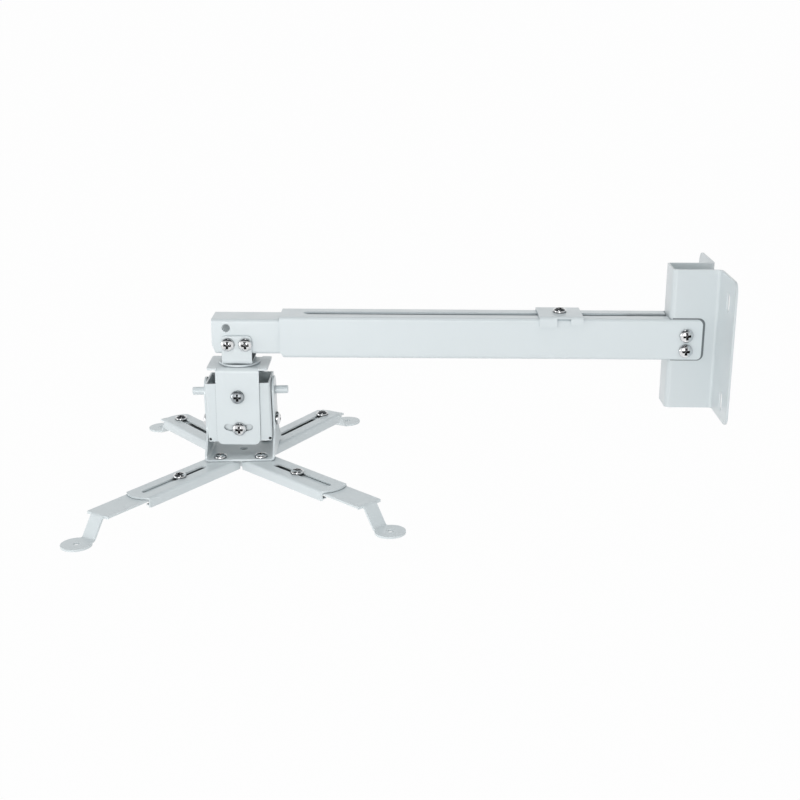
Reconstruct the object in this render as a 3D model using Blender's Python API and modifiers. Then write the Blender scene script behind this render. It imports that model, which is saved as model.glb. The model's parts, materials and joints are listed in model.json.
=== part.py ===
"""Telescopic wall mount for a projector: a hat-section wall bracket, a square tube in a square tube,
a yoke that swivels and tilts two ways, and four slotted arms with sliding folded feet.
Metres, +Z up. The wall is the plane X = 0 and the tube runs along -X through the origin."""

import math

import bmesh
import bpy
from mathutils import Matrix

# Wall bracket, a hat section with its open side against the wall
BRACKET_HEIGHT = 0.136
BRACKET_WIDTH = 0.158
BRACKET_DEPTH = 0.047
BRACKET_SHEET = 0.002
CHANNEL_HALF = 0.0174
BRACKET_BEND = 0.003
FLANGE_CORNER = 0.010
WALL_SLOT = (0.018, 0.009)
WALL_SLOT_Y = 0.0525
WALL_SLOT_Z = (0.0445, -0.0505)

# Outer tube, its side walls carried on as ears over the bracket's channel
TUBE = 0.040
TUBE_WALL = 0.002
TUBE_CORNER = 0.003
TUBE_MOUTH_X = -0.420
TUBE_BACK_X = -0.0475
EAR_END_X = -0.016
EAR_CORNER = 0.005
MOUTH_CLIP = (0.0035, 0.0065)
SLOT_WIDTH = 0.011
SLOT_START_X = -0.398
EAR_BOLT_X = -0.031
EAR_BOLT_Z = (0.0045, -0.0105)

# Inner tube, drawn 27 mm out of its innermost place
INNER = 0.034
INNER_LENGTH = 0.400
SWIVEL_X = -0.4616
INNER_OVERHANG = 0.024
INNER_CLIP = (0.0035, 0.009)
SPARE_HOLE = (-0.0100, 0.0085, 0.0040)

# Clamp saddle that rides on the outer tube and holds the inner one through the slot
SADDLE_FROM_SWIVEL = 0.2896
SADDLE_LENGTH = 0.042
SADDLE_SKIRT = 0.0083
SADDLE_STEP = 0.0025
SADDLE_BOLT_SHIFT = 0.0213
SADDLE_NOTCH = (0.0170, 0.0300)

# Neck, a U under the inner tube
NECK_WIDTH = 0.029
NECK_TOP_Z = 0.001
NECK_BASE_Z = -0.0273
NECK_BOLT_SPREAD = 0.0085
NECK_BOLT_Z = -0.0072
WASHER_RADIUS = 0.020
WASHER_THICKNESS = 0.0021

# Head, with both tilt axes through one point below the tube
PIVOT_Z = -0.0585
HEAD_ROLL = math.radians(1.5)
YOKE_TOP = 0.0285
YOKE_WING_HALF = 0.0295
YOKE_WING_DEPTH = 0.0234
YOKE_WING_INSET = 0.00005
YOKE_LEG_HALF = 0.021
YOKE_DROP = 0.0485
YOKE_HALF_DEPTH = 0.0236
YOKE_LEG_CORNER = 0.006
ROLL_SLOT_RADIUS = 0.0325
ROLL_SLOT_ANGLE = math.radians(19)

BOX_HALF = (0.0314, 0.0213)
BOX_TOP = 0.0128
BOX_BOTTOM = -0.0458
BOX_WALL = 0.0018
BOX_CORNER = 0.0022
RELIEF_HOLE = (0.0292, 0.0024, 0.0015)

CRADLE_HALF = (0.0340, 0.0330)
CRADLE_BASE = -0.0628
CRADLE_TOP_RADIUS = 0.014
CRADLE_SHOULDER_Z = -0.057
CRADLE_WAIST_Z = -0.038
PITCH_SLOT_RADIUS = 0.0295
PITCH_SLOT_ANGLE = math.radians(16)
AXLE_RADIUS = 0.004
AXLE_HALF = 0.047
CENTRE_HOLE = 0.004

# Arms, named by corner: front is -Y and right is +X
ARM_PIVOT = (0.020, 0.026)
ARM_ANGLE = {"front_left": -124.9, "front_right": -46.9, "back_right": 59.7, "back_left": 127.0}
ARM_HALF = 0.016
ARM_BACK = 0.0115
ARM_BACK_CORNER = 0.002
ARM_SIDE_END = 0.110
ARM_TIP = 0.117
ARM_SKIRT = 0.0096
ARM_SHEET = 0.0018
ARM_BEND = 0.001
ARM_SLOT = (0.022, 0.105)
FOOT_AT = {"front": 0.0565, "back": 0.1010}
FOOT_REACH = {"front": 0.1035, "back": 0.0215}
FOOT_HALF = 0.0136
FOOT_TAIL = 0.009
FOOT_LEG_HALF = 0.0075
FOOT_LEG_RUN = 0.013
FOOT_LEG_DROP = 0.0189
FOOT_PAD_AT = 0.027
FOOT_PAD_RADIUS = 0.014
FOOT_PAD_HOLE = 0.0030

# Sheet, fasteners and gaps
SHEET = 0.002
BEND = 0.002
BOLT_RADIUS = 0.003
BOLT_HEAD = (0.0065, 0.0040)
SMALL_HEAD = (0.0063, 0.0036)
SWIVEL_RADIUS = 0.004
SWIVEL_HEAD = (0.008, 0.005)
NUT_FLAT = 0.010
NUT_HEIGHT = 0.005
SWIVEL_NUT_FLAT = 0.013
SWIVEL_NUT_HEIGHT = 0.006
HOLE_CLEARANCE = 0.0003
SLOT_HALF = 0.0034
GAP = 0.0003
OVERCUT = 0.005

# Facets
ARC_STEPS = 5
CAP_STEPS = 8
ROUND_STEPS = 12
LARGE_STEPS = 28
DOME_STEPS = 3

WHITE = (0.72, 0.75, 0.76)
CHROME = (0.78, 0.78, 0.78)
ZINC = (0.60, 0.61, 0.62)

# Columns take an outline's x, its y and its depth to the axes named
ALONG_Z = Matrix.Identity(4)
ALONG_X = Matrix(((0, 0, 1, 0), (1, 0, 0, 0), (0, 1, 0, 0), (0, 0, 0, 1)))
ALONG_Y = Matrix(((1, 0, 0, 0), (0, 0, -1, 0), (0, 1, 0, 0), (0, 0, 0, 1)))


def clear_scene():
    for obj in list(bpy.data.objects):
        bpy.data.objects.remove(obj, do_unlink=True)


def new_collection(name):
    collection = bpy.data.collections.new(name)
    bpy.context.scene.collection.children.link(collection)
    return collection


def new_material(name, colour, roughness, metallic):
    material = bpy.data.materials.new(name)
    material.use_nodes = True
    shader = material.node_tree.nodes["Principled BSDF"]
    shader.inputs["Base Color"].default_value = (*colour, 1.0)
    shader.inputs["Roughness"].default_value = roughness
    shader.inputs["Metallic"].default_value = metallic
    return material


def frame(name, parent, location, turn=None):
    """An empty that carries the pieces of one moving body, on that body's axis."""
    empty = bpy.data.objects.new(name, None)
    PARTS.objects.link(empty)
    empty.parent = parent
    empty.location = location
    if turn is not None:
        empty.rotation_euler = turn
    return empty


def finish(obj, material, parent):
    obj.data.materials.clear()
    obj.data.materials.append(MATERIALS[material])
    obj.parent = parent
    return obj


def circle(radius, x=0.0, y=0.0, steps=ROUND_STEPS):
    turns = [2 * math.pi * i / steps for i in range(steps)]
    return [(x + radius * math.cos(a), y + radius * math.sin(a)) for a in turns]


def arc(radius, start, end, x=0.0, y=0.0, steps=ARC_STEPS):
    angles = [start + (end - start) * i / steps for i in range(steps + 1)]
    return [(x + radius * math.cos(a), y + radius * math.sin(a)) for a in angles]


def fillet(before, corner, after, radius):
    """The points of a round corner of the given radius, or the bare corner for none."""
    if radius <= 0:
        return [corner]
    to_before = math.atan2(before[1] - corner[1], before[0] - corner[0])
    to_after = math.atan2(after[1] - corner[1], after[0] - corner[0])
    opening = (to_after - to_before + math.pi) % (2 * math.pi) - math.pi
    if abs(abs(opening) - math.pi) < 0.01:
        return [corner]
    middle = to_before + opening / 2
    reach = radius / math.sin(abs(opening) / 2)
    centre = (corner[0] + reach * math.cos(middle), corner[1] + reach * math.sin(middle))
    side = math.copysign(math.pi / 2, opening)
    sweep = math.copysign(math.pi - abs(opening), -opening)
    start = to_before - side
    return arc(radius, start, start + sweep, *centre)


def rounded(points, radii):
    """A closed outline with each corner rounded by its own radius."""
    outline = []
    count = len(points)
    for i, corner in enumerate(points):
        outline += fillet(points[i - 1], corner, points[(i + 1) % count], radii[i])
    return outline


def rounded_box(half_x, half_y, radius):
    corners = [(half_x, -half_y), (half_x, half_y), (-half_x, half_y), (-half_x, -half_y)]
    return rounded(corners, [radius] * 4)


def stadium(start, end, half, y=0.0):
    """A straight slot along x with round ends, its length measured over the ends."""
    right = arc(half, -math.pi / 2, math.pi / 2, end - half, y, CAP_STEPS)
    left = arc(half, math.pi / 2, 3 * math.pi / 2, start + half, y, CAP_STEPS)
    return right + left


def arc_slot(radius, half_angle, half):
    """A slot along an arc below the outline's origin, with round ends."""
    low = -math.pi / 2 - half_angle
    high = -math.pi / 2 + half_angle
    right_end = (radius * math.cos(high), radius * math.sin(high))
    left_end = (radius * math.cos(low), radius * math.sin(low))
    outer = arc(radius + half, low, high, steps=CAP_STEPS)
    right = arc(half, high, high + math.pi, *right_end, CAP_STEPS)[1:-1]
    inner = arc(radius - half, high, low, steps=CAP_STEPS)
    left = arc(half, low - math.pi, low, *left_end, CAP_STEPS)[1:-1]
    return outer + right + inner + left


def offset_path(path, distance):
    """The open path moved sideways to its left by a distance, with mitred corners."""
    moved = []
    for i, point in enumerate(path):
        before = path[max(i - 1, 0)]
        after = path[min(i + 1, len(path) - 1)]
        came = math.atan2(point[1] - before[1], point[0] - before[0]) if i else None
        goes = math.atan2(after[1] - point[1], after[0] - point[0]) if i < len(path) - 1 else came
        came = goes if came is None else came
        half_turn = ((goes - came + math.pi) % (2 * math.pi) - math.pi) / 2
        normal = came + half_turn + math.pi / 2
        reach = distance / math.cos(half_turn)
        moved.append((point[0] + reach * math.cos(normal), point[1] + reach * math.sin(normal)))
    return moved


def bent_strip(path, thickness=SHEET, bend=BEND):
    """The closed edge of a sheet bent along a path, round on both sides of every bend."""
    turns = [0.0]
    for before, corner, after in zip(path, path[1:], path[2:]):
        came = (corner[0] - before[0], corner[1] - before[1])
        goes = (after[0] - corner[0], after[1] - corner[1])
        turns.append(came[0] * goes[1] - came[1] * goes[0])
    turns.append(0.0)
    left_radii = [0.0 if turn == 0 else bend + (thickness if turn < 0 else 0.0) for turn in turns]
    right_radii = [0.0 if turn == 0 else bend + (thickness if turn > 0 else 0.0) for turn in turns]
    left = offset_path(path, thickness / 2)
    right = offset_path(path, -thickness / 2)
    return rounded(right + left[::-1], right_radii + left_radii[::-1])


def extrusion(name, loops, low, high, axes, collection):
    """A flat outline with its holes, drawn out from low to high along the depth axis."""
    curve = bpy.data.curves.new(name, "CURVE")
    curve.dimensions = "2D"
    curve.fill_mode = "BOTH"
    curve.extrude = (high - low) / 2
    for loop in loops:
        spline = curve.splines.new("POLY")
        spline.points.add(len(loop) - 1)
        for point, (x, y) in zip(spline.points, loop):
            point.co = (x, y, 0.0, 1.0)
        spline.use_cyclic_u = True
    drawn = bpy.data.objects.new(name + "_outline", curve)
    bpy.context.scene.collection.objects.link(drawn)
    bpy.context.view_layer.update()
    graph = bpy.context.evaluated_depsgraph_get()
    mesh = bpy.data.meshes.new_from_object(drawn.evaluated_get(graph))
    bpy.data.objects.remove(drawn, do_unlink=True)
    bpy.data.curves.remove(curve)
    solid = bmesh.new()
    solid.from_mesh(mesh)
    bmesh.ops.remove_doubles(solid, verts=solid.verts, dist=1e-6)
    solid.to_mesh(mesh)
    solid.free()
    mesh.transform(axes @ Matrix.Translation((0, 0, (low + high) / 2)))
    mesh.name = name
    obj = bpy.data.objects.new(name, mesh)
    collection.objects.link(obj)
    return obj


def drills(name, places, radius, low, high, axes, steps=ROUND_STEPS):
    """Parallel round cutters, one at each place of the outline plane."""
    mesh = bpy.data.meshes.new(name)
    tool = bmesh.new()
    for x, y in places:
        spot = axes @ Matrix.Translation((x, y, (low + high) / 2))
        bmesh.ops.create_cone(
            tool, cap_ends=True, segments=steps, radius1=radius, radius2=radius,
            depth=high - low, matrix=spot,
        )
    tool.to_mesh(mesh)
    tool.free()
    obj = bpy.data.objects.new(name, mesh)
    CUTTERS.objects.link(obj)
    return obj


def combine(obj, tool, operation):
    """Cuts the piece by a tool, or keeps what both share, and leaves the tool as a guide."""
    tool.parent = obj.parent
    tool.hide_render = True
    tool.display_type = "WIRE"
    step = obj.modifiers.new(tool.name, "BOOLEAN")
    step.operation = operation
    step.object = tool
    return obj


def shade_round(mesh):
    mesh.shade_smooth()
    mesh.set_sharp_from_angle(angle=math.radians(35))


def turned(name, profile, steps, material, parent):
    """A turned piece about Z from a profile that runs from its top to its bottom."""
    mesh = bpy.data.meshes.new(name)
    edges = [(i, i + 1) for i in range(len(profile) - 1)]
    mesh.from_pydata([(x, 0.0, z) for x, z in profile], edges, [])
    obj = bpy.data.objects.new(name, mesh)
    PARTS.objects.link(obj)
    lathe = obj.modifiers.new("turn", "SCREW")
    lathe.steps = steps
    lathe.render_steps = steps
    lathe.use_merge_vertices = True
    lathe.merge_threshold = 0.00005
    lathe.use_smooth_shade = False
    return finish(obj, material, parent)


def bolt(name, place, turn, length, parent, head=BOLT_HEAD, radius=BOLT_RADIUS):
    """A round-headed bolt whose shank runs down from the head's underside at its origin."""
    head_radius, head_height = head
    rim = 0.35 * head_height
    tip = 0.2 * radius
    dome = []
    for i in range(DOME_STEPS + 1):
        turn_up = math.pi / 2 * i / DOME_STEPS
        dome.append((head_radius * math.sin(turn_up), rim + (head_height - rim) * math.cos(turn_up)))
    profile = dome + [(head_radius, 0.0), (radius, 0.0), (radius, tip - length), (radius - tip, -length)]
    obj = turned(name, profile + [(0.0, -length)], ROUND_STEPS, "chrome", parent)
    obj.location = place
    obj.rotation_euler = turn
    return obj


def nut(name, place, turn, parent, flat=NUT_FLAT, height=NUT_HEIGHT, radius=BOLT_RADIUS):
    """A hexagon nut whose upper face is at its origin."""
    hexagon = circle(flat / math.sqrt(3), steps=6)
    bore = circle(radius + 0.0002, steps=ROUND_STEPS)
    obj = extrusion(name, [hexagon, bore], -height, 0.0, ALONG_Z, PARTS)
    obj.location = place
    obj.rotation_euler = turn
    return finish(obj, "zinc", parent)


def make_wall_bracket():
    """The hat section, its four wall slots and the two holes through its channel."""
    half = BRACKET_SHEET / 2
    wall = -half
    side = CHANNEL_HALF - half
    web = half - BRACKET_DEPTH
    edge = BRACKET_WIDTH / 2
    far = edge + OVERCUT
    path = [(wall, -far), (wall, -side), (web, -side), (web, side), (wall, side), (wall, far)]
    top = BRACKET_HEIGHT / 2
    strip = [bent_strip(path, BRACKET_SHEET, BRACKET_BEND)]
    hat = extrusion("wall_bracket", strip, -top - OVERCUT, top + OVERCUT, ALONG_Z, PARTS)
    finish(hat, "white", None)
    loops = [rounded_box(edge, top, FLANGE_CORNER)]
    length, width = WALL_SLOT
    for y in (-WALL_SLOT_Y, WALL_SLOT_Y):
        for z in WALL_SLOT_Z:
            upright = stadium(z - length / 2, z + length / 2, width / 2, -y)
            loops.append([(-b, a) for a, b in upright])
    sheet = extrusion("flange_outline", loops, -0.060, 0.010, ALONG_X, CUTTERS)
    combine(hat, sheet, "INTERSECT")
    places = [(EAR_BOLT_X, z) for z in EAR_BOLT_Z]
    holes = drills("channel_holes", places, BOLT_RADIUS + HOLE_CLEARANCE, -0.030, 0.030, ALONG_Y)
    combine(hat, holes, "DIFFERENCE")


def make_outer_tube():
    """The square tube, its long top slot, its clipped mouth and the ears at the wall end."""
    half = TUBE / 2
    walls = [rounded_box(half, half, TUBE_CORNER)]
    walls.append(rounded_box(half - TUBE_WALL, half - TUBE_WALL, TUBE_CORNER - TUBE_WALL))
    start = TUBE_MOUTH_X - OVERCUT
    tube = extrusion("outer_tube", walls, start, EAR_END_X + OVERCUT, ALONG_X, PARTS)
    finish(tube, "white", None)
    clip_x, clip_z = MOUTH_CLIP
    over = half + OVERCUT
    ear = half - 0.0002
    side = [
        (TUBE_MOUTH_X, over), (TUBE_MOUTH_X, clip_z - half), (TUBE_MOUTH_X + clip_x, -half),
        (TUBE_MOUTH_X + clip_x, -over), (TUBE_BACK_X, -over), (TUBE_BACK_X, -ear),
        (EAR_END_X, -ear), (EAR_END_X, ear), (TUBE_BACK_X, ear), (TUBE_BACK_X, over),
    ]
    radii = [0, 0.001, 0, 0, 0, 0, EAR_CORNER, EAR_CORNER, 0, 0]
    holes = [circle(BOLT_RADIUS + HOLE_CLEARANCE, EAR_BOLT_X, z) for z in EAR_BOLT_Z]
    shape = extrusion("outer_tube_side", [rounded(side, radii)] + holes, -0.030, 0.030, ALONG_Y, CUTTERS)
    combine(tube, shape, "INTERSECT")
    inside = half - TUBE_WALL
    room = [(TUBE_BACK_X, -inside), (0.0, -inside), (0.0, inside), (TUBE_BACK_X, inside)]
    opening = extrusion("ear_opening", [room], -over, over, ALONG_Z, CUTTERS)
    combine(tube, opening, "DIFFERENCE")
    track = stadium(SLOT_START_X, TUBE_BACK_X + 0.02, SLOT_WIDTH / 2)
    slot = extrusion("top_slot", [track], 0.010, over, ALONG_Z, CUTTERS)
    combine(tube, slot, "DIFFERENCE")


def make_ear_bolts():
    """Two bolts through the ears and the channel, with their nuts at the back."""
    outside = TUBE / 2 + GAP
    for label, z in zip(("upper", "lower"), EAR_BOLT_Z):
        length = 2 * outside + NUT_HEIGHT + 0.001
        bolt(f"wall_bolt_{label}", (EAR_BOLT_X, -outside, z), (math.pi / 2, 0, 0), length, None)
        nut(f"wall_nut_{label}", (EAR_BOLT_X, outside, z), (math.pi / 2, 0, 0), None)


def make_inner_tube(parent):
    """The sliding tube, with its clipped free end, a spare hole and the holes for its bolts."""
    half = INNER / 2
    start = -INNER_OVERHANG
    end = start + INNER_LENGTH
    walls = [rounded_box(half, half, TUBE_CORNER)]
    walls.append(rounded_box(half - TUBE_WALL, half - TUBE_WALL, TUBE_CORNER - TUBE_WALL))
    tube = extrusion("inner_tube", walls, start - OVERCUT, end + OVERCUT, ALONG_X, PARTS)
    finish(tube, "white", parent)
    clip_x, clip_z = INNER_CLIP
    over = half + OVERCUT
    side = [
        (start, over), (start, clip_z - half), (start + clip_x, -half), (start + clip_x, -over),
        (end, -over), (end, over),
    ]
    holes = [circle(SPARE_HOLE[2], SPARE_HOLE[0], SPARE_HOLE[1])]
    for x in (-NECK_BOLT_SPREAD, NECK_BOLT_SPREAD):
        holes.append(circle(BOLT_RADIUS + HOLE_CLEARANCE, x, NECK_BOLT_Z))
    outline = [rounded(side, [0, 0.004, 0, 0, 0, 0])] + holes
    shape = extrusion("inner_tube_side", outline, -0.030, 0.030, ALONG_Y, CUTTERS)
    combine(tube, shape, "INTERSECT")
    spot = (SADDLE_FROM_SWIVEL + SADDLE_BOLT_SHIFT, 0.0)
    tapped = drills("clamp_hole", [spot], BOLT_RADIUS + HOLE_CLEARANCE, 0.010, 0.025, ALONG_Z)
    combine(tube, tapped, "DIFFERENCE")


def make_clamp(parent):
    """The saddle, and its bolt through the slot to a nut under the inner tube's top wall."""
    inside = TUBE / 2 + GAP
    middle = inside + SHEET / 2
    skirt = inside - SADDLE_SKIRT
    low = skirt - OVERCUT
    path = [(-middle, low), (-middle, middle), (middle, middle), (middle, low)]
    start = SADDLE_FROM_SWIVEL
    end = start + SADDLE_LENGTH
    strip = [bent_strip(path, bend=0.001)]
    saddle = extrusion("clamp_saddle", strip, start - OVERCUT, end + OVERCUT, ALONG_X, PARTS)
    finish(saddle, "white", parent)
    notch_start = start + SADDLE_NOTCH[0]
    notch_end = start + SADDLE_NOTCH[1]
    high = middle + OVERCUT
    far_skirt = skirt + SADDLE_STEP
    side = [
        (start, skirt), (notch_start, skirt), (notch_start, inside), (notch_end, inside),
        (notch_end, far_skirt), (end, far_skirt), (end, high), (start, high),
    ]
    radii = [0.001, 0.001, 0, 0, 0.001, 0.001, 0, 0]
    shape = extrusion("saddle_side", [rounded(side, radii)], -0.030, 0.030, ALONG_Y, CUTTERS)
    combine(saddle, shape, "INTERSECT")
    spot = start + SADDLE_BOLT_SHIFT
    hole = drills("saddle_hole", [(spot, 0.0)], BOLT_RADIUS + HOLE_CLEARANCE, 0.010, 0.030, ALONG_Z)
    combine(saddle, hole, "DIFFERENCE")
    top = inside + SHEET + GAP
    under = INNER / 2 - TUBE_WALL - GAP
    bolt("clamp_bolt", (spot, 0, top), (0, 0, 0), top - under + NUT_HEIGHT + 0.001, parent)
    nut("clamp_nut", (spot, 0, under), (0, 0, 0), parent)


def make_neck(parent):
    """The U that hangs from the inner tube, its two through bolts and the swivel washer."""
    middle = INNER / 2 + GAP + SHEET / 2
    base = NECK_BASE_Z + SHEET / 2
    top = NECK_TOP_Z + OVERCUT
    half = NECK_WIDTH / 2
    path = [(-middle, top), (-middle, base), (middle, base), (middle, top)]
    strip = [bent_strip(path)]
    neck = extrusion("neck", strip, -half - OVERCUT, half + OVERCUT, ALONG_X, PARTS)
    finish(neck, "white", parent)
    low = NECK_BASE_Z - OVERCUT
    side = [(-half, low), (half, low), (half, NECK_TOP_Z), (-half, NECK_TOP_Z)]
    spots = [(x, NECK_BOLT_Z) for x in (-NECK_BOLT_SPREAD, NECK_BOLT_SPREAD)]
    holes = [circle(BOLT_RADIUS + HOLE_CLEARANCE, x, z) for x, z in spots]
    outline = [rounded(side, [0, 0, 0.004, 0.004])] + holes
    shape = extrusion("neck_side", outline, -0.030, 0.030, ALONG_Y, CUTTERS)
    combine(neck, shape, "INTERSECT")
    hole = drills("neck_hole", [(0, 0)], SWIVEL_RADIUS + HOLE_CLEARANCE, low, base + 0.003, ALONG_Z)
    combine(neck, hole, "DIFFERENCE")
    outside = middle + SHEET / 2 + GAP
    for label, (x, z) in zip(("left", "right"), spots):
        length = 2 * outside + NUT_HEIGHT + 0.001
        bolt(f"neck_bolt_{label}", (x, -outside, z), (math.pi / 2, 0, 0), length, parent)
        nut(f"neck_nut_{label}", (x, outside, z), (math.pi / 2, 0, 0), parent)
    rings = [circle(WASHER_RADIUS, steps=LARGE_STEPS), circle(SWIVEL_RADIUS + HOLE_CLEARANCE)]
    high = NECK_BASE_Z - GAP
    disc = extrusion("swivel_washer", rings, high - WASHER_THICKNESS, high, ALONG_Z, PARTS)
    finish(disc, "white", parent)


def make_yoke(parent):
    """The upside-down U that swivels, with two flat wings, and a tilt hole and slot in each leg."""
    side = YOKE_HALF_DEPTH - SHEET / 2
    top = YOKE_TOP - SHEET / 2
    low = -YOKE_DROP - OVERCUT
    path = [(-side, low), (-side, top), (side, top), (side, low)]
    leg = YOKE_LEG_HALF
    strip = [bent_strip(path)]
    yoke = extrusion("upper_yoke", strip, -leg - OVERCUT, leg + OVERCUT, ALONG_X, PARTS)
    finish(yoke, "white", parent)
    over = YOKE_TOP + OVERCUT
    corner = YOKE_LEG_CORNER
    front = [(-leg, -YOKE_DROP), (leg, -YOKE_DROP), (leg, over), (-leg, over)]
    outline = [rounded(front, [corner, corner, 0, 0])]
    outline.append(circle(BOLT_RADIUS + HOLE_CLEARANCE))
    outline.append(arc_slot(ROLL_SLOT_RADIUS, ROLL_SLOT_ANGLE, SLOT_HALF))
    shape = extrusion("yoke_front", outline, -0.030, 0.030, ALONG_Y, CUTTERS)
    combine(yoke, shape, "INTERSECT")
    inset = YOKE_WING_INSET
    for label, sign in (("left", -1), ("right", 1)):
        reach = sorted((sign * (leg - 0.001), sign * YOKE_WING_HALF))
        deep = YOKE_WING_DEPTH
        plan = [(reach[0], -deep), (reach[1], -deep), (reach[1], deep), (reach[0], deep)]
        ends = [0, 0.003, 0.003, 0] if sign > 0 else [0.003, 0, 0, 0.003]
        sheet = [rounded(plan, ends)]
        under = YOKE_TOP - SHEET + inset
        wing = extrusion(f"yoke_wing_{label}", sheet, under, YOKE_TOP - inset, ALONG_Z, CUTTERS)
        combine(yoke, wing, "UNION")
    hole = drills("yoke_hole", [(0, 0)], SWIVEL_RADIUS + HOLE_CLEARANCE, 0.020, over, ALONG_Z)
    combine(yoke, hole, "DIFFERENCE")


def make_swivel_bolt(parent):
    """The upright bolt in the neck, with its nut under the yoke's top plate."""
    seat = NECK_BASE_Z + SHEET + GAP - PIVOT_Z
    under = YOKE_TOP - SHEET - GAP
    length = seat - under + SWIVEL_NUT_HEIGHT + 0.001
    bolt("swivel_bolt", (0, 0, seat), (0, 0, 0), length, parent, SWIVEL_HEAD, SWIVEL_RADIUS)
    place = (0, 0, under)
    nut("swivel_nut", place, (0, 0, 0), parent, SWIVEL_NUT_FLAT, SWIVEL_NUT_HEIGHT, SWIVEL_RADIUS)


def make_tilt_box(parent):
    """The open folded box between the yoke's legs, with the holes of both tilt axes."""
    half_x, half_y = BOX_HALF
    outside = rounded_box(half_x, half_y, BOX_CORNER)
    inside = rounded_box(half_x - BOX_WALL, half_y - BOX_WALL, BOX_CORNER - BOX_WALL)
    box = extrusion("tilt_box", [outside], BOX_BOTTOM, BOX_TOP, ALONG_Z, PARTS)
    finish(box, "white", parent)
    floor = BOX_BOTTOM + BOX_WALL
    hollow = extrusion("box_hollow", [inside], floor, BOX_TOP + OVERCUT, ALONG_Z, CUTTERS)
    combine(box, hollow, "DIFFERENCE")
    hole = BOLT_RADIUS + HOLE_CLEARANCE
    spots = [(0, 0), (0, -ROLL_SLOT_RADIUS)]
    combine(box, drills("box_roll_holes", spots, hole, -0.030, 0.030, ALONG_Y), "DIFFERENCE")
    reach, rise, radius = RELIEF_HOLE
    corners = [(x, BOX_BOTTOM + rise) for x in (-reach, reach)]
    combine(box, drills("box_relief", corners, radius, -0.030, 0.030, ALONG_Y, 8), "DIFFERENCE")
    axle = AXLE_RADIUS + HOLE_CLEARANCE
    combine(box, drills("box_axle_hole", [(0, 0)], axle, -0.040, 0.040, ALONG_X), "DIFFERENCE")
    low = [(0, -PITCH_SLOT_RADIUS)]
    combine(box, drills("box_pitch_hole", low, hole, -0.040, 0.040, ALONG_X), "DIFFERENCE")


def make_roll_bolts(parent):
    """A tilt bolt and a lock bolt in front and at the back, with their nuts inside the box."""
    outside = YOKE_HALF_DEPTH + GAP
    inside = BOX_HALF[1] - BOX_WALL - GAP
    length = outside - inside + NUT_HEIGHT + 0.0005
    for label, sign in (("front", -1), ("back", 1)):
        turn = (-sign * math.pi / 2, 0, 0)
        for kind, z in (("pivot", 0.0), ("lock", -ROLL_SLOT_RADIUS)):
            bolt(f"roll_{kind}_{label}", (0, sign * outside, z), turn, length, parent)
            nut(f"roll_{kind}_nut_{label}", (0, sign * inside, z), turn, parent)


def make_pitch_bolts(parent):
    """The axle and the two side lock bolts, with their nuts inside the box."""
    chamfer = 0.0006
    rod = [
        (0.0, AXLE_HALF), (AXLE_RADIUS - chamfer, AXLE_HALF), (AXLE_RADIUS, AXLE_HALF - chamfer),
        (AXLE_RADIUS, chamfer - AXLE_HALF), (AXLE_RADIUS - chamfer, -AXLE_HALF), (0.0, -AXLE_HALF),
    ]
    axle = turned("pitch_axle", rod, ROUND_STEPS, "white", parent)
    axle.rotation_euler = (0, math.pi / 2, 0)
    outside = CRADLE_HALF[0] + GAP
    inside = BOX_HALF[0] - BOX_WALL - GAP
    length = outside - inside + NUT_HEIGHT + 0.0005
    for label, sign in (("left", -1), ("right", 1)):
        turn = (0, sign * math.pi / 2, 0)
        bolt(f"pitch_lock_{label}", (sign * outside, 0, -PITCH_SLOT_RADIUS), turn, length, parent)
        nut(f"pitch_lock_nut_{label}", (sign * inside, 0, -PITCH_SLOT_RADIUS), turn, parent)


def make_cradle(parent):
    """The lower U, its waisted legs with an axle hole and an arc slot, and its arm holes."""
    side = CRADLE_HALF[0] - SHEET / 2
    base = CRADLE_BASE + SHEET / 2
    top = CRADLE_TOP_RADIUS + OVERCUT
    deep = CRADLE_HALF[1]
    path = [(-side, top), (-side, base), (side, base), (side, top)]
    strip = [bent_strip(path)]
    cradle = extrusion("lower_cradle", strip, -deep - OVERCUT, deep + OVERCUT, ALONG_Y, PARTS)
    finish(cradle, "white", parent)
    waist = CRADLE_TOP_RADIUS
    low = CRADLE_BASE - OVERCUT
    crown = arc(waist, 0.0, math.pi, steps=2 * CAP_STEPS)
    left = [(-waist, CRADLE_WAIST_Z), (-deep, CRADLE_SHOULDER_Z), (-deep, low)]
    right = [(-y, z) for y, z in left[::-1]]
    leg = left + right + crown
    radii = [0.014, 0.006, 0, 0, 0.006, 0.014] + [0.0] * len(crown)
    outline = [rounded(leg, radii)]
    outline.append(circle(AXLE_RADIUS + HOLE_CLEARANCE))
    outline.append(arc_slot(PITCH_SLOT_RADIUS, PITCH_SLOT_ANGLE, SLOT_HALF))
    shape = extrusion("cradle_side", outline, -0.040, 0.040, ALONG_X, CUTTERS)
    combine(cradle, shape, "INTERSECT")
    x, y = ARM_PIVOT
    spots = [(-x, -y), (x, -y), (x, y), (-x, y)]
    holes = drills("cradle_holes", spots, BOLT_RADIUS + HOLE_CLEARANCE, low, base + 0.003, ALONG_Z)
    combine(cradle, holes, "DIFFERENCE")
    centre = drills("cradle_centre", [(0, 0)], CENTRE_HOLE, low, base + 0.003, ALONG_Z)
    combine(cradle, centre, "DIFFERENCE")


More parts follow.
